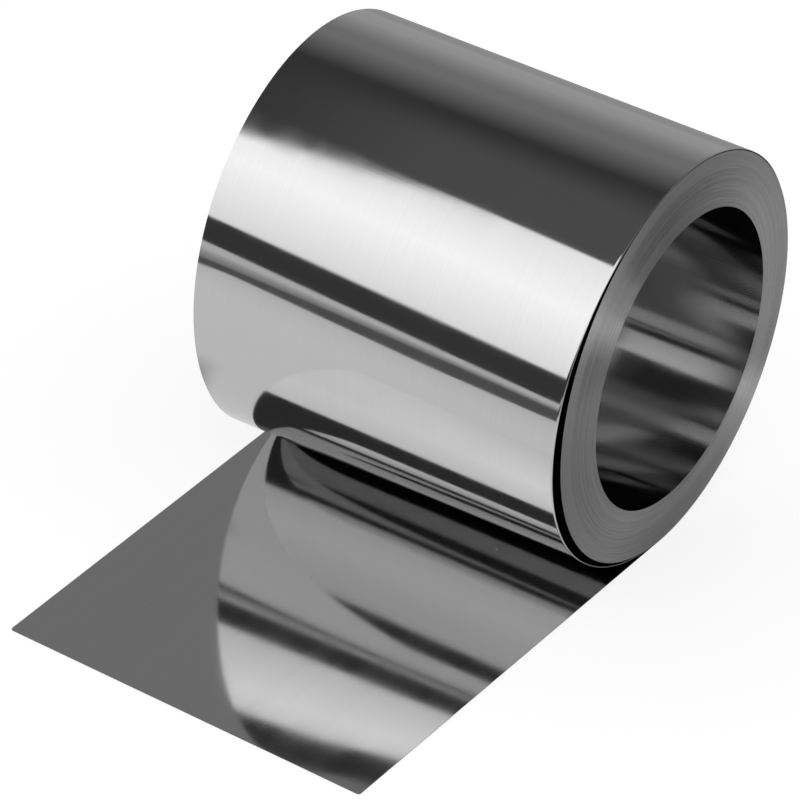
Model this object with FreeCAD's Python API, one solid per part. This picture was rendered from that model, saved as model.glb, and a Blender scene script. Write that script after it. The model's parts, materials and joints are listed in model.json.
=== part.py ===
import FreeCAD, Part
import math
import os

# A coil of thin stainless strip, wound tight on itself, in millimetres.
# Its last lap has loosened, more over the top at the -X end than at the +X end,
# and runs out under the coil as a flat tail.
# X is the coil's axis, the tail runs towards -Y, and Z is up.
# The origin is on the axis, midway along the bore.
# Angles turn about the axis from straight down, first towards the tail's side.

strip_width = 200.0
strip_thickness = 0.3
bore_diameter = 150.0
tight_laps = 89            # laps wound tight, under the loosened one
telescope = 2.5            # how far the innermost laps stand out at the +X end
flush_wall = 9.0           # depth of the outer laps whose edges lie in one plane
nip = 3.0                  # the tail is pressed on for this far before the lowest line
lift_turn = 3.3            # the turn from there to where the last lap lifts off
lap_end = 240.0            # where it lies down on the tight laps again
slack = 0.4                # the least gap under it, once it has lifted
slack_ramp = 15.0          # the turn in which it lifts by that gap
near_bulge_gap = 6.5       # how far it bulges besides, at the +X end, low at the front
near_bulge_end = 165.0     # where that bulge ends
far_bulge_gap = 8.0        # how far it bulges at the -X end, high at the front
far_bulge_start = 55.0     # where that bulge starts
tail_length = 255.0        # from the lowest line to the middle of the cut end
tail_skew = 13.5           # the cut runs askew: the +X edge is longer by this much

bore_radius = bore_diameter / 2
tight_radius = bore_radius + tight_laps * strip_thickness
lap_radius = tight_radius + strip_thickness
floor_depth = lap_radius + strip_thickness
flush_radius = lap_radius - flush_wall
outer_x0 = -strip_width / 2 - telescope
outer_x1 = outer_x0 + strip_width
tail_end = -tail_length - tail_skew / 2     # at its longest, at the +X edge
nip_angle = math.degrees(math.asin(nip / lap_radius))
lap_start = nip_angle + lift_turn
curve_steps = 47           # points along the loosened lap
open_share = 0.7           # the air gap begins and ends this far up the slack ramp

x_axis = FreeCAD.Vector(1, 0, 0)
centre = FreeCAD.Vector(0, 0, 0)


def round_point(x, radius, degrees):
    turn = math.radians(degrees)
    return FreeCAD.Vector(x, -radius * math.sin(turn), -radius * math.cos(turn))


def arc(x, radius, start, end):
    middle = round_point(x, radius, (start + end) / 2)
    return Part.Arc(round_point(x, radius, start), middle, round_point(x, radius, end)).toShape()


def hump(angle, start, end):
    """Rises smoothly from 0 at the start to 1 midway, and falls back to 0 at the end."""
    share = min(max((angle - start) / (end - start), 0.0), 1.0)
    return math.sin(math.pi * share) ** 2


def lap_gap(x, angle):
    """The gap between the tight laps and the loosened one, at one end of the coil."""
    ramp = min(1.0, (angle - lap_start) / slack_ramp, (lap_end - angle) / slack_ramp)
    lifted = slack * math.sin(math.pi / 2 * max(ramp, 0.0)) ** 2
    if x == outer_x1:
        return lifted + near_bulge_gap * hump(angle, lap_start, near_bulge_end)
    return lifted + far_bulge_gap * hump(angle, far_bulge_start, lap_end)


def lap_curve(x, radius, start, end):
    """One face of the loosened lap, from one angle to another."""
    angles = [start + (end - start) * step / curve_steps for step in range(curve_steps + 1)]
    points = [round_point(x, radius + lap_gap(x, angle), angle) for angle in angles]
    curve = Part.BSplineCurve()
    curve.interpolate(Points=points, Parameters=angles)
    return curve.toShape()


def outline(x):
    """The outer edge of the section: tail, back, loosened lap, and back to the tail."""
    lowest = FreeCAD.Vector(x, 0, -floor_depth)
    back = round_point(x, (lap_radius + floor_depth) / 2, (lap_end + 360) / 2)
    nip_top = round_point(x, lap_radius, nip_angle)
    nip_foot = FreeCAD.Vector(x, -nip, -lap_radius)
    tail_top = FreeCAD.Vector(x, tail_end, -lap_radius)
    tail_foot = FreeCAD.Vector(x, tail_end, -floor_depth)
    return Part.Wire([
        Part.makeLine(tail_foot, lowest),
        Part.Arc(lowest, back, round_point(x, lap_radius, lap_end)).toShape(),
        lap_curve(x, lap_radius, lap_start, lap_end),
        arc(x, lap_radius, lap_start, nip_angle),
        Part.makeLine(nip_top, nip_foot),
        Part.makeLine(nip_foot, tail_top),
        Part.makeLine(tail_top, tail_foot),
    ])


def crescent(x):
    """The air under the loosened lap, with a blunt end where the laps close up."""
    start = lap_start + open_share * slack_ramp
    end = lap_end - open_share * slack_ramp
    edges = [
        arc(x, tight_radius, start, end),
        lap_curve(x, tight_radius, start, end),
    ]
    for angle in (start, end):
        foot = round_point(x, tight_radius, angle)
        edges.append(Part.makeLine(foot, round_point(x, tight_radius + lap_gap(x, angle), angle)))
    return Part.Wire(Part.sortEdges(edges)[0])


def end_to_end(section):
    """The solid between one section at the -X end and one at the +X end."""
    return Part.makeLoft([section(outer_x0), section(outer_x1)], True, True)


def askew_offcut():
    """The wedge that the askew cut takes off the tail's end."""
    corners = [
        FreeCAD.Vector(outer_x0, tail_end, -floor_depth),
        FreeCAD.Vector(outer_x0, tail_end + tail_skew, -floor_depth),
        FreeCAD.Vector(outer_x1, tail_end, -floor_depth),
    ]
    triangle = Part.Face(Part.makePolygon(corners + corners[:1]))
    return triangle.extrude(FreeCAD.Vector(0, 0, strip_thickness))


def bore():
    return Part.makeCylinder(bore_radius, strip_width, FreeCAD.Vector(outer_x0, 0, 0), x_axis)


def lap_shift(end_x):
    """The ring between one end's plane and the inner laps, which are shifted along X."""
    corners = [
        FreeCAD.Vector(end_x, bore_radius, 0),
        FreeCAD.Vector(end_x + telescope, bore_radius, 0),
        FreeCAD.Vector(end_x, flush_radius, 0),
    ]
    triangle = Part.Face(Part.makePolygon(corners + corners[:1]))
    return triangle.revolve(centre, x_axis, 360)


def steel_strip():
    coil = end_to_end(outline).cut(end_to_end(crescent)).cut(bore())
    coil = coil.fuse(lap_shift(outer_x1)).cut(lap_shift(outer_x0))
    return coil.cut(askew_offcut()).removeSplitter()


def save(name, shape):
    solids = shape.Solids
    if len(solids) != 1 or not solids[0].isValid():
        raise ValueError(name + " is not one sound solid")
    solids[0].exportStep(os.path.join("parts", name + ".step"))
    print(name, "volume", round(solids[0].Volume), "mm3, box", solids[0].BoundBox)


os.makedirs("parts", exist_ok=True)
save("steel_strip", steel_strip())
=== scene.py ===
import json
import math
import random

import bmesh
import bpy
from mathutils import Matrix, Vector


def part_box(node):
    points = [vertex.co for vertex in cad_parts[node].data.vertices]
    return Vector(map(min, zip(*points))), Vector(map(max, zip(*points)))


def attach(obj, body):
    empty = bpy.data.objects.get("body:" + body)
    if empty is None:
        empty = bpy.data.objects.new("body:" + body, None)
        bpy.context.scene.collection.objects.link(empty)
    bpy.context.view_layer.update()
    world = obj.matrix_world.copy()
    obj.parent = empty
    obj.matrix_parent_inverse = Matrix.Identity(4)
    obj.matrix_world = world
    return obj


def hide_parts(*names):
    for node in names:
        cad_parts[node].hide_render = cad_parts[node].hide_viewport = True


# A coil of bright stainless strip, in metres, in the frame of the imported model.
# X is the coil's axis, the tail runs towards -Y, and Z is up.
# Angles turn about the axis from straight down, first towards the tail's side.

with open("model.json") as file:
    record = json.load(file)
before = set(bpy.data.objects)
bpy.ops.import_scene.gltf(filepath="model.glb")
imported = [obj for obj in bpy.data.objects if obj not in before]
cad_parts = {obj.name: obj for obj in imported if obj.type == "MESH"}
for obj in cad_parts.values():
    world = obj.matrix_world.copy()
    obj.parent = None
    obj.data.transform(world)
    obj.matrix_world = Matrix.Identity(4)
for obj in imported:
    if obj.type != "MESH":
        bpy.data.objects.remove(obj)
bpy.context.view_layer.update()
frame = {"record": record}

mm = 0.001
node = "steel_strip"
box_low, box_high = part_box(node)
mounts = frame["record"]["mounts"]
bore_dims = next(mount["dims"] for mount in mounts if mount["name"] == "coil_bore")

# The coil's sizes, from the frame. Only the thickness isn't in it.
strip_thickness = 0.3 * mm
strip_width = bore_dims["length_mm"] * mm
bore_radius = bore_dims["r_mm"] * mm
floor_z = box_low.z
floor_depth = -floor_z
lap_radius = floor_depth - strip_thickness
tight_radius = lap_radius - strip_thickness
tight_laps = round((tight_radius - bore_radius) / strip_thickness)
outer_x0 = box_low.x
outer_x1 = outer_x0 + strip_width
telescope = box_high.x - outer_x1
tail_end = box_low.y

# The loosened last lap and the tail's cut, as the solid has them, but kept inside its box.
flush_radius = lap_radius - 9.0 * mm
tail_skew = 13.5 * mm
lap_start = 5.0
lap_end = 240.0
slack = 0.4 * mm
slack_ramp = 15.0
near_bulge_gap = 6.5 * mm
near_bulge_end = 165.0
far_bulge_gap = 7.9 * mm
far_bulge_start = 55.0

# Fine detail that only shows here.
lap_air = 0.02 * mm          # the film of air between two tight laps
edge_wander = 0.07 * mm      # how far the slit edges of the laps stray sideways
corner_round = 1.6 * mm      # the tail's corners are a little rounded
corner_step = 15.0           # degrees between points round such a corner
corner_steps = 6
wander_places = 3            # places on each turn where the straying changes
wander_seed = 7
creep_bend = 1.5             # a turn climbs late onto the one below it
turn_steps = 240             # steps of one tight turn
lap_steps = 320              # steps of the loosened turn
back_steps = 120
tail_steps = 60
across_steps = 24

# The tail is flat, but it is shaded as if its face leaned a little, as slopes along X and Y,
# so that its reflections come near the photograph's.
lean_x = 0.085
lean_y = 0.05
lean_y_gain = 0.16           # and further towards its end, per metre
lean_ramp = 35 * mm          # from the nip to where it leans
lean_dip = 0.012             # but less so at its end, except along the +X edge
lean_dip_y = (-0.165, -0.26)
lean_dip_x = (0.055, 0.10)
tail_height = 2 * mm         # faces lower than this over the floor are the tail's
facing_up = 0.99
rim_width = 0.9 * mm         # the slit rolls the lap's edge over a little
rim_turn = 50.0
sharp_edge = 35.0            # faces that meet at more degrees than this show a sharp edge

# Numbers of the materials on a piece.
face_slot = 0
edge_slot = 1
bore_slot = 2
side_slots = (face_slot, edge_slot, face_slot, edge_slot)

# The rolled face.
metal_level = 0.58
metal_roughness = (0.06, 0.09)
metal_brushed = 0.5          # how anisotropic its gloss is, from 0 to 1
line_scale = (900, 4, 4)     # close together along X, and long round the coil
band_scale = (60, 2, 2)
wave_scale = (9, 14, 14)
line_tone = 0.03             # how much lighter the lightest lines are than the darkest
wave_height = 0.02 * mm      # how far the strip is off flat, in shallow waves
line_share = 0.01            # height of its fine lines, as a share of that
noise_range = (0.3, 0.7)     # between these lies nearly all of a noise

# The slit edges of the laps, which make the coil's ends.
streaks_outward = 2600.0     # scale of the streaks, outward and along them
streaks_along = 12.0
slit_tone = (0.265, 0.335)
slit_roughness = (0.42, 0.34)
slit_brushed = 1.0
slit_height = 0.02 * mm
painted_shade_place = (-0.13, -0.03)  # of Y plus Z: below and in front of this, the end's colour is darkened as painted shade
painted_shade_share = 0.66


def ring_point(x, radius, degrees):
    turn = math.radians(degrees)
    return Vector((x, -radius * math.sin(turn), -radius * math.cos(turn)))


def hump(angle, start, end):
    """Rises smoothly from 0 at the start to 1 midway, and falls back to 0 at the end."""
    share = min(max((angle - start) / (end - start), 0.0), 1.0)
    return math.sin(math.pi * share) ** 2


def blend_to(value, start, end, low, high):
    """Goes evenly from one level to another between two places."""
    share = min(max((value - start) / (end - start), 0.0), 1.0)
    return low + (high - low) * share


def eased(value, start, end):
    """Rises smoothly from 0 at the start to 1 at the end."""
    share = min(max((value - start) / (end - start), 0.0), 1.0)
    return share * share * (3 - 2 * share)


def creep(angle):
    """How far a turn has climbed onto the one below it, from 0 to 1 of a thickness."""
    return max(0.0, (angle - lap_end) / (360.0 - lap_end)) ** creep_bend


def lap_gap(share, angle):
    """The air under the loosened lap; share is 0 at the -X end and 1 at the +X end."""
    ramp = min(1.0, (angle - lap_start) / slack_ramp, (lap_end - angle) / slack_ramp)
    lifted = slack * math.sin(math.pi / 2 * max(ramp, 0.0)) ** 2
    near = near_bulge_gap * hump(angle, lap_start, near_bulge_end)
    far = far_bulge_gap * hump(angle, far_bulge_start, lap_end)
    return lifted + share * near + (1 - share) * far


def new_piece(name, verts, faces, slots, materials):
    """A piece from points and faces, each face with the number of its material."""
    mesh = bpy.data.meshes.new(name)
    mesh.from_pydata(verts, [], faces)
    for material in materials:
        mesh.materials.append(material)
    mesh.polygons.foreach_set("material_index", slots)
    work = bmesh.new()
    work.from_mesh(mesh)
    bmesh.ops.recalc_face_normals(work, faces=work.faces)
    work.to_mesh(mesh)
    work.free()
    mesh.shade_smooth()
    mesh.set_sharp_from_angle(angle=math.radians(sharp_edge))
    piece = bpy.data.objects.new(name, mesh)
    bpy.context.scene.collection.objects.link(piece)
    return piece


def lap_shift(turn, wander):
    """How far a tight lap is pushed towards +X: the coil's taper, and a little wander."""
    radius = bore_radius + strip_thickness * turn
    taper = telescope * max(0.0, (flush_radius - radius) / (flush_radius - bore_radius))
    place = turn * wander_places
    at = int(place)
    stray = wander[at] + (wander[at + 1] - wander[at]) * (place - at)
    return min(max(taper + stray, 0.0), telescope)


def tight_coil(face_metal, edge_metal, bore_metal):
    """All the tight laps: one strip wound on itself, with the edge of every turn.

    Sides 0 and 2 of its section are the strip's faces, and 1 and 3 its slit edges.
    """
    dice = random.Random(wander_seed)
    places = wander_places * tight_laps + 2
    wander = [dice.uniform(-edge_wander, edge_wander) for _ in range(places)]
    verts = []
    faces = []
    slots = []
    for step in range(tight_laps * turn_steps + 1):
        lap = min(step // turn_steps, tight_laps - 1)
        angle = 360.0 * (step - lap * turn_steps) / turn_steps
        inner = bore_radius + strip_thickness * (lap + creep(angle))
        outer = inner + strip_thickness - lap_air
        shift = lap_shift(step / turn_steps, wander)
        verts.append(ring_point(outer_x0 + shift, inner, angle))
        verts.append(ring_point(outer_x1 + shift, inner, angle))
        verts.append(ring_point(outer_x1 + shift, outer, angle))
        verts.append(ring_point(outer_x0 + shift, outer, angle))
        if step:
            here = 4 * step
            for side in range(4):
                after = (side + 1) % 4
                faces.append((here + side, here + after, here + after - 4, here + side - 4))
                in_bore = side == 0 and step <= turn_steps
                slots.append(bore_slot if in_bore else side_slots[side])
    faces.append((0, 1, 2, 3))
    faces.append(tuple(len(verts) - 4 + side for side in range(4)))
    slots += [edge_slot, edge_slot]
    return new_piece("tight_laps", verts, faces, slots, [face_metal, edge_metal, bore_metal])


def tail_reach(share):
    """Y of the tail's cut end, which runs askew and has rounded corners."""
    reach = tail_end + tail_skew * (1 - share)
    from_side = min(share, 1 - share) * strip_width
    if from_side < corner_round:
        drop = corner_round - from_side
        reach += corner_round - math.sqrt(corner_round ** 2 - drop ** 2)
    return reach


def outer_strip_stations():
    """From the tail's end to where the last lap joins the tight ones: (kind, place)."""
    stations = [("tail", step / tail_steps) for step in range(tail_steps)]
    back = 360.0 - lap_end
    stations += [("lap", 360.0 - back * step / back_steps) for step in range(back_steps)]
    stations += [("lap", lap_end * (1 - step / lap_steps)) for step in range(lap_steps + 1)]
    return stations


def outer_strip_point(share, station, depth):
    """A point of the last lap or the tail, depth under its outer face."""
    kind, place = station
    x = outer_x0 + strip_width * share
    if kind == "tail":
        return Vector((x, tail_reach(share) * (1 - place), floor_z + depth))
    radius = lap_radius + strip_thickness * creep(place) + lap_gap(share, place)
    return ring_point(x, radius - depth, place)


def across_shares():
    """Places across the strip, closer together in the rounded corners."""
    corner = corner_round / strip_width
    turns = [math.radians(corner_step * step) for step in range(corner_steps)]
    edge = [corner * (1 - math.cos(turn)) for turn in turns]
    middle = [corner + (1 - 2 * corner) * step / across_steps for step in range(across_steps + 1)]
    return edge + middle + [1 - place for place in reversed(edge)]


def outer_strip(face_metal, edge_metal):
    """The last lap, loosened, and the tail that it runs out into under the coil."""
    shares = across_shares()
    stations = outer_strip_stations()
    width = len(shares)
    verts = []
    for depth in (0.0, strip_thickness):
        for station in stations:
            verts += [outer_strip_point(share, station, depth) for share in shares]
    inside = width * len(stations)
    faces = []
    slots = []
    for row in range(len(stations) - 1):
        for side in range(width - 1):
            first = row * width + side
            quad = (first, first + 1, first + width + 1, first + width)
            faces += [quad, tuple(corner + inside for corner in reversed(quad))]
            slots += [face_slot, face_slot]
        for first in (row * width, row * width + width - 1):
            faces.append((first, first + width, first + width + inside, first + inside))
            slots.append(edge_slot)
    for row in (0, len(stations) - 1):
        for side in range(width - 1):
            first = row * width + side
            faces.append((first, first + 1, first + 1 + inside, first + inside))
            slots.append(edge_slot)
    return new_piece("outer_lap_and_tail", verts, faces, slots, [face_metal, edge_metal])


def tail_normal(place):
    """Which way the tail's face seems to look at a place."""
    share = min(max(-place.y / lean_ramp, 0.0), 1.0)
    dip = eased(-place.y, -lean_dip_y[0], -lean_dip_y[1]) * (1 - eased(place.x, *lean_dip_x))
    down = lean_y - lean_y_gain * place.y - lean_dip * dip
    return Vector((-lean_x * share, -down * share, 1)).normalized()


def rim_normal(place):
    """Which way the lap's rolled-over edge looks at a place."""
    turn = math.radians(rim_turn) * (1 - (outer_x1 - place.x) / rim_width)
    outward = Vector((0, place.y, place.z)).normalized()
    return outward * math.cos(turn) + Vector((math.sin(turn), 0, 0))


def shape_normals(piece):
    """The tail's face leans as its reflections show, and the lap's near edge is rolled over."""
    mesh = piece.data
    normals = [(0.0, 0.0, 0.0)] * len(mesh.loops)
    for face in mesh.polygons:
        low = face.center.z < floor_z + tail_height
        in_tail = low and face.normal.z > facing_up
        in_lap = not low and face.normal.dot(Vector((0, *face.center.yz))) > 0
        if face.material_index != face_slot or not (in_tail or in_lap):
            continue
        for loop in face.loop_indices:
            place = mesh.vertices[mesh.loops[loop].vertex_index].co
            if in_tail:
                normals[loop] = tail_normal(place)
            elif outer_x1 - place.x < rim_width:
                normals[loop] = rim_normal(place)
    mesh.normals_split_custom_set(normals)


def new_material(name):
    material = bpy.data.materials.new(name)
    material.use_nodes = True
    nodes = material.node_tree.nodes
    return nodes, material.node_tree.links, nodes["Principled BSDF"], material


def operate(nodes, links, kind, *values):
    """A math node over links or plain numbers."""
    node_made = nodes.new("ShaderNodeMath")
    node_made.operation = kind
    for socket, value in zip(node_made.inputs, values):
        if isinstance(value, (int, float)):
            socket.default_value = value
        else:
            links.new(value, socket)
    return node_made.outputs[0]


def noise(nodes, links, vector, scale, detail):
    made = nodes.new("ShaderNodeTexNoise")
    made.inputs["Scale"].default_value = scale
    made.inputs["Detail"].default_value = detail
    links.new(vector, made.inputs["Vector"])
    return made.outputs["Fac"]


def stretched(nodes, links, scale):
    """Object coordinates, stretched by a factor along each axis."""
    place = nodes.new("ShaderNodeTexCoord")
    mapping = nodes.new("ShaderNodeMapping")
    mapping.inputs["Scale"].default_value = scale
    links.new(place.outputs["Object"], mapping.inputs["Vector"])
    return mapping.outputs["Vector"]


def ranged(nodes, links, value, low, high):
    """A 0 to 1 noise, spread over a range of values."""
    made = nodes.new("ShaderNodeMapRange")
    made.inputs["From Min"].default_value = noise_range[0]
    made.inputs["From Max"].default_value = noise_range[1]
    made.inputs["To Min"].default_value = low
    made.inputs["To Max"].default_value = high
    links.new(value, made.inputs["Value"])
    return made.outputs["Result"]


def fade(nodes, links, value, places, low, high):
    """Goes smoothly from one level to another between two places."""
    made = nodes.new("ShaderNodeMapRange")
    made.interpolation_type = "SMOOTHSTEP"
    made.inputs["From Min"].default_value = places[0]
    made.inputs["From Max"].default_value = places[1]
    made.inputs["To Min"].default_value = low
    made.inputs["To Max"].default_value = high
    links.new(value, made.inputs["Value"])
    return made.outputs["Result"]


def grey(nodes, links, value):
    made = nodes.new("ShaderNodeCombineColor")
    for channel in ("Red", "Green", "Blue"):
        links.new(value, made.inputs[channel])
    return made.outputs["Color"]


def bump(nodes, links, shader, height, distance):
    made = nodes.new("ShaderNodeBump")
    made.inputs["Strength"].default_value = 1.0
    made.inputs["Distance"].default_value = distance
    links.new(height, made.inputs["Height"])
    links.new(made.outputs["Normal"], shader.inputs["Normal"])


def rolled_metal(name):
    """A rolled face of bright annealed strip: near mirror, with fine lines along its length."""
    nodes, links, shader, material = new_material(name)
    lines = noise(nodes, links, stretched(nodes, links, line_scale), 1.0, 3.0)
    bands = noise(nodes, links, stretched(nodes, links, band_scale), 1.0, 2.0)
    waves = noise(nodes, links, stretched(nodes, links, wave_scale), 1.0, 1.0)
    tone = operate(nodes, links, "MULTIPLY_ADD", lines, line_tone, metal_level - line_tone / 2)
    links.new(grey(nodes, links, tone), shader.inputs["Base Color"])
    links.new(ranged(nodes, links, bands, *metal_roughness), shader.inputs["Roughness"])
    height = operate(nodes, links, "MULTIPLY_ADD", lines, line_share, waves)
    bump(nodes, links, shader, height, wave_height)
    across = nodes.new("ShaderNodeCombineXYZ")
    across.inputs["X"].default_value = 1.0
    links.new(across.outputs["Vector"], shader.inputs["Tangent"])
    shader.inputs["Metallic"].default_value = 1.0
    shader.inputs["Anisotropic"].default_value = metal_brushed
    return material


def slit_metal():
    """The slit edges of the laps: satin, with streaks that run round the end of the coil."""
    nodes, links, shader, material = new_material("slit_edge")
    place = nodes.new("ShaderNodeTexCoord")
    flat = nodes.new("ShaderNodeVectorMath")
    flat.operation = "MULTIPLY"
    flat.inputs[1].default_value = (0, 1, 1)
    links.new(place.outputs["Object"], flat.inputs[0])
    length = nodes.new("ShaderNodeVectorMath")
    length.operation = "LENGTH"
    links.new(flat.outputs["Vector"], length.inputs[0])
    radius = length.outputs["Value"]
    along = nodes.new("ShaderNodeVectorMath")
    along.operation = "SCALE"
    along.inputs["Scale"].default_value = streaks_along
    links.new(flat.outputs["Vector"], along.inputs[0])
    rings = nodes.new("ShaderNodeCombineXYZ")
    links.new(operate(nodes, links, "MULTIPLY", radius, streaks_outward), rings.inputs["X"])
    ring_place = nodes.new("ShaderNodeVectorMath")
    links.new(rings.outputs["Vector"], ring_place.inputs[0])
    links.new(along.outputs["Vector"], ring_place.inputs[1])
    streaks = noise(nodes, links, ring_place.outputs["Vector"], 1.0, 3.0)
    split = nodes.new("ShaderNodeSeparateXYZ")
    links.new(place.outputs["Object"], split.inputs["Vector"])
    slant = operate(nodes, links, "ADD", split.outputs["Y"], split.outputs["Z"])
    # Painted shade: the end's colour is darker below and in front, where less light falls on it.
    painted_shade = fade(nodes, links, slant, painted_shade_place, painted_shade_share, 1.0)
    tone = operate(nodes, links, "MULTIPLY", ranged(nodes, links, streaks, *slit_tone), painted_shade)
    links.new(grey(nodes, links, tone), shader.inputs["Base Color"])
    links.new(ranged(nodes, links, streaks, *slit_roughness), shader.inputs["Roughness"])
    bump(nodes, links, shader, streaks, slit_height)
    links.new(flat.outputs["Vector"], shader.inputs["Tangent"])
    shader.inputs["Metallic"].default_value = 1.0
    shader.inputs["Anisotropic"].default_value = slit_brushed
    return material


# The camera, as fitted to the photograph: a long lens, taken to be four metres away.
camera_place = Vector((1.6893, -2.9634, 2.0902))
camera_yaw = math.radians(30.40)
camera_pitch = math.radians(32.29)
camera_roll = math.radians(4.02)
sensor_width = 36.0
lens = 382.94
view_depth = 100.0


def add_camera():
    """Puts the camera where its fit to the photograph has it."""
    forward = Vector((
        -math.sin(camera_yaw) * math.cos(camera_pitch),
        math.cos(camera_yaw) * math.cos(camera_pitch),
        -math.sin(camera_pitch),
    ))
    level_right = forward.cross(Vector((0, 0, 1))).normalized()
    level_up = level_right.cross(forward)
    right = level_right * math.cos(camera_roll) + level_up * math.sin(camera_roll)
    up = level_up * math.cos(camera_roll) - level_right * math.sin(camera_roll)
    data = bpy.data.cameras.new("camera")
    data.sensor_width = sensor_width
    data.lens = lens
    data.clip_end = view_depth
    camera = bpy.data.objects.new("camera", data)
    bpy.context.scene.collection.objects.link(camera)
    turn = Matrix((right, up, -forward)).transposed().to_4x4()
    camera.matrix_world = Matrix.Translation(camera_place) @ turn
    bpy.context.scene.camera = camera


# The studio: what the metal shows, matched to the photograph's reflections.
# Degrees run from 0, level towards -Y, over 90, straight up, to 180, level towards +Y.
studio_radius = 3.0
studio_half_length = 4.5
right_end = studio_half_length
wall_from = -3.0             # the studio's wall starts and ends a little under the floor
wall_turn = 186.0
wall_rows = 186
wall_columns = 300
end_steps = 60
left_end_level = 0.90
right_end_level = 0.57
table_level = 0.82           # of the table, as the metal shows it
table_front_level = 0.68     # it is a little darker towards its front
table_fade = (-0.70, -0.25)
back_y = 0.35                # behind this, the table is in shade
shade_level = 0.30
shade_far_level = 0.43
table_edge = [(-0.25, 0.35), (-0.35, -0.60), (-0.21, -0.57), (-0.09, -0.68), (right_end, -0.68)]
gap_edge = [(-0.43, 0.35), (-0.43, -0.50), (-0.43, -1.10), (-0.35, -1.18), (right_end, -1.18)]
lit_edge = [(-0.75, 0.35), (-0.75, -0.50), (-0.75, -1.55), (-0.60, -1.70), (right_end, -1.70)]
far_edge = [(-2.10, 0.35), (-2.10, -0.50), (-2.10, -2.70), (-1.90, -2.90), (right_end, -2.90)]
gap_level = 0.11             # a dark gap round the table
near_strip_level = 0.26      # a lit strip of the room's floor beyond the gap
strip_level = 0.66
softbox_low = 12.0
softbox_low_x = -1.36        # where its lower edge is that; it rises towards +X
softbox_low_rise = 3.2       # degrees per metre
softbox_low_reach = 0.17     # but it runs level from this far to the left of there
softbox_top = 72.5
softbox_left_top = 57.0      # its upper edge is lower at the left
softbox_step = (-1.40, -1.15)
softbox_far_rise = 8.5       # and rises again further to the left
softbox_far_step = (-1.55, -1.95)
softbox_hot = (-1.6, -2.15, 1.16)     # brighter between these places, by this
softbox_hot_soft = 0.2       # over this far at either of them
softbox_fade = (-2.75, -3.15, 0.70)   # and dimmer beyond these, by this
softbox_low_level = 1.16
softbox_level = 1.55         # at its brightest line
softbox_bright = 45.0
softbox_top_level = 1.32
softbox_edge = 1.0           # how soft its edges are, in degrees
ceiling_level = 0.051
ceiling_gain = 0.058         # the ceiling is a little lighter at the right
ceiling_step = (-1.38, -1.15)
ceiling_soft = 20.0          # degrees over which that gain fades out near the wall
side_light_x = 3.0
side_light_low = -0.08       # its lowest and highest place, along Y and along Z
side_light_high = 0.12
side_light_level = 50.0
wall_start = 117.0           # the wall behind gets lighter from here, in two steps
wall_step = 139.0
wall_step_width = 9.0
wall_step_level = 0.24
wall_level = 0.42
wall_lift = 6.0              # at the left, its levels come this many degrees sooner
wall_lift_step = (-1.6, -1.9)
wall_full = 168.0


def softbox_share(x, degrees):
    """1 inside the softbox, 0 outside, with a soft edge."""
    top = blend_to(x, *softbox_step, softbox_left_top, softbox_top)
    top += softbox_far_rise * eased(x, *softbox_far_step)
    low = softbox_low + softbox_low_rise * max(x - softbox_low_x, -softbox_low_reach)
    inside = min(top - degrees, degrees - low) / softbox_edge + 0.5
    return min(max(inside, 0.0), 1.0)


def softbox_tone(x, degrees):
    """How bright the softbox is at a place."""
    start, end, gain = softbox_hot
    started = eased(x, start, start - softbox_hot_soft)
    ended = eased(x, end + softbox_hot_soft, end)
    tone = 1 + (gain - 1) * started * (1 - ended)
    start, end, loss = softbox_fade
    tone *= 1 - (1 - loss) * eased(x, start, end)
    if degrees < softbox_bright:
        places = (softbox_low, softbox_bright)
        levels = (softbox_low_level, softbox_level)
    else:
        places = (softbox_bright, softbox_top)
        levels = (softbox_level, softbox_top_level)
    return tone * blend_to(degrees, *places, *levels)


def room_tone(x, degrees):
    """The ceiling and the wall behind, without the softbox."""
    if degrees < softbox_bright:
        return ceiling_level
    if degrees < wall_start:
        from_wall = eased(wall_start - degrees, 0, ceiling_soft)
        return ceiling_level + ceiling_gain * eased(x, *ceiling_step) * from_wall
    degrees += wall_lift * eased(x, *wall_lift_step)
    if degrees < wall_step:
        return blend_to(degrees, wall_start, wall_step, ceiling_level, wall_step_level)
    step_end = wall_step + wall_step_width
    return blend_to(degrees, step_end, wall_full, wall_step_level, wall_level)


def studio_level(x, degrees):
    """How bright the studio's wall is at a place along X and an angle about the axis."""
    share = softbox_share(x, degrees)
    return share * softbox_tone(x, degrees) + (1 - share) * room_tone(x, degrees)


def glow_material(name):
    """Plain light, as bright as the mesh's own level says."""
    material = bpy.data.materials.new(name)
    material.use_nodes = True
    nodes = material.node_tree.nodes
    nodes.remove(nodes["Principled BSDF"])
    level = nodes.new("ShaderNodeAttribute")
    level.attribute_name = "level"
    glow = nodes.new("ShaderNodeEmission")
    material.node_tree.links.new(level.outputs["Fac"], glow.inputs["Strength"])
    material.node_tree.links.new(glow.outputs[0], nodes["Material Output"].inputs["Surface"])
    return material


def stage_card(name, verts, faces, levels, material):
    """A piece of the studio that only the metal sees."""
    mesh = bpy.data.meshes.new(name)
    mesh.from_pydata(verts, [], faces)
    mesh.materials.append(material)
    mesh.attributes.new("level", "FLOAT", "POINT").data.foreach_set("value", levels)
    card = bpy.data.objects.new(name, mesh)
    bpy.context.scene.collection.objects.link(card)
    card.visible_camera = False
    card.visible_diffuse = False
    card.visible_transmission = False
    card.visible_shadow = False


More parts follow.
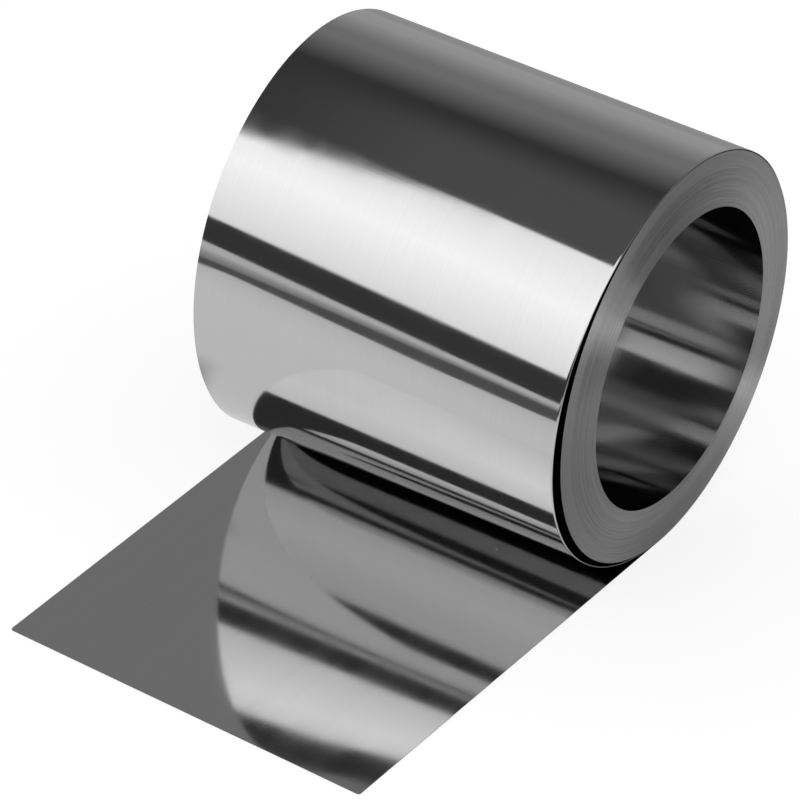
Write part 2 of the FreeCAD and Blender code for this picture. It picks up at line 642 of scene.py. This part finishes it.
def studio_wall(material):
    """A wide half tube over the table, from the floor in front to the floor behind."""
    verts = []
    levels = []
    for row in range(wall_rows + 1):
        degrees = wall_from + wall_turn * row / wall_rows
        turn = math.radians(degrees)
        for column in range(wall_columns + 1):
            x = -studio_half_length + 2 * studio_half_length * column / wall_columns
            verts.append((x, -studio_radius * math.cos(turn), studio_radius * math.sin(turn)))
            levels.append(studio_level(x, degrees))
    faces = []
    across = wall_columns + 1
    for row in range(wall_rows):
        for column in range(wall_columns):
            first = row * across + column
            faces.append((first, first + 1, first + 1 + across, first + across))
    stage_card("studio_wall", verts, faces, levels, material)


def studio_end(name, x, level, material):
    """A round card that closes one end of the studio."""
    verts = [(x, 0, 0)]
    for step in range(end_steps):
        verts.append(tuple(ring_point(x, studio_radius, 360 * step / end_steps)))
    faces = [(0, 1 + step, 1 + (step + 1) % end_steps) for step in range(end_steps)]
    stage_card(name, verts, faces, [level] * len(verts), material)


def low_band(name, inner, outer, inner_level, outer_level, material):
    """A flat card a millimetre over the floor, between two outlines round the table."""
    count = len(inner)
    verts = [(x, y, floor_z + mm) for x, y in inner + outer]
    faces = [(step, step + 1, step + 1 + count, step + count) for step in range(count - 1)]
    levels = [inner_level] * count + [outer_level] * count
    stage_card(name, verts, faces, levels, material)


def side_light(material):
    """A light far to the right, which makes the glints on the coil's end."""
    x = side_light_x
    low = side_light_low
    high = side_light_high
    corners = [(x, low, low), (x, high, low), (x, high, high), (x, low, high)]
    stage_card("side_light", corners, [(0, 1, 2, 3)], [side_light_level] * 4, material)


def studio():
    """The whole studio: a side light, a wall, two ends, and the bands on and round the table."""
    glow = glow_material("studio_glow")
    left = -studio_half_length
    right = right_end
    side_light(glow)
    studio_wall(glow)
    studio_end("studio_end_left", left, left_end_level, glow)
    studio_end("studio_end_right", right, right_end_level, glow)
    dark = ceiling_level
    back = [(left, back_y), (right, back_y)]
    behind = [(left, studio_radius), (right, studio_radius)]
    low_band("shaded_table", back, behind, shade_level, shade_far_level, glow)
    low_band("gap_beside_table", table_edge, gap_edge, gap_level, gap_level, glow)
    room_side = [(left, y) for x, y in gap_edge[:2]]
    low_band("dark_side", gap_edge[:2], room_side, dark, dark, glow)
    low_band("lit_edge", gap_edge[1:], lit_edge[1:], near_strip_level, strip_level, glow)
    low_band("lit_floor", lit_edge[1:], far_edge[1:], strip_level, strip_level, glow)
    room = [(left, far_edge[1][1]), (left, -studio_radius)]
    room += [(x, -studio_radius) for x, y in far_edge[3:]]
    low_band("dark_floor", far_edge[1:], room, dark, dark, glow)


# The floor.
floor_gap = 0.2 * mm
floor_half = 15.0
floor_glow = 0.75            # the floor's own share of white, so that its shadow stays soft
floor_paint = 0.27
shadow_y = (-0.135, -0.085)  # painted shadow: in the metal, the table goes dark behind this,
shadow_x = (-0.145, -0.125)  # but only to the left of this


def add_floor():
    """A plain floor that shows white, keeps a soft shadow, and shows in the metal as a table."""
    nodes, links, shader, material = new_material("floor")
    shader.inputs["Base Color"].default_value = (floor_paint, floor_paint, floor_paint, 1)
    shader.inputs["Roughness"].default_value = 1.0
    shader.inputs["Specular IOR Level"].default_value = 0.0
    shader.inputs["Emission Color"].default_value = (1, 1, 1, 1)
    path = nodes.new("ShaderNodeLightPath")
    looks = [path.outputs["Is Camera Ray"], path.outputs["Is Transmission Ray"]]
    seen = operate(nodes, links, "MULTIPLY", operate(nodes, links, "ADD", *looks), floor_glow)
    place = nodes.new("ShaderNodeTexCoord")
    split = nodes.new("ShaderNodeSeparateXYZ")
    links.new(place.outputs["Object"], split.inputs["Vector"])
    table = fade(nodes, links, split.outputs["Y"], table_fade, table_front_level, table_level)
    table = operate(nodes, links, "SUBTRACT", table, floor_paint)
    # Painted shadow: the table's glow in the metal is taken down, as if in the coil's shade.
    behind = fade(nodes, links, split.outputs["Y"], shadow_y, 0.0, 1.0)
    left = fade(nodes, links, split.outputs["X"], shadow_x, 1.0, 0.0)
    lit = operate(nodes, links, "SUBTRACT", 1.0, operate(nodes, links, "MULTIPLY", behind, left))
    table = operate(nodes, links, "MULTIPLY", table, lit)
    shown = operate(nodes, links, "MULTIPLY", path.outputs["Is Glossy Ray"], table)
    links.new(operate(nodes, links, "ADD", seen, shown), shader.inputs["Emission Strength"])
    signs = [(-1, -1), (1, -1), (1, 1), (-1, 1)]
    corners = [(floor_half * x, floor_half * y, floor_z - floor_gap) for x, y in signs]
    mesh = bpy.data.meshes.new("floor")
    mesh.from_pydata(corners, [], [(0, 1, 2, 3)])
    mesh.materials.append(material)
    floor = bpy.data.objects.new("floor", mesh)
    bpy.context.scene.collection.objects.link(floor)


def white_world():
    """Plain white light from all around."""
    world = bpy.data.worlds.new("studio")
    world.use_nodes = True
    world.node_tree.nodes["Background"].inputs["Color"].default_value = (1, 1, 1, 1)
    world.node_tree.nodes["Background"].inputs["Strength"].default_value = 1.0
    bpy.context.scene.world = world


face_metal = rolled_metal("bright_strip")
bore_metal = rolled_metal("bore_face")
edge_metal = slit_metal()
coil = tight_coil(face_metal, edge_metal, bore_metal)
strip = outer_strip(face_metal, edge_metal)
shape_normals(strip)
for piece in (coil, strip):
    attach(piece, "root")
    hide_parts(node)
studio()
add_floor()
white_world()
add_camera()
bpy.context.scene.view_settings.view_transform = "Standard"
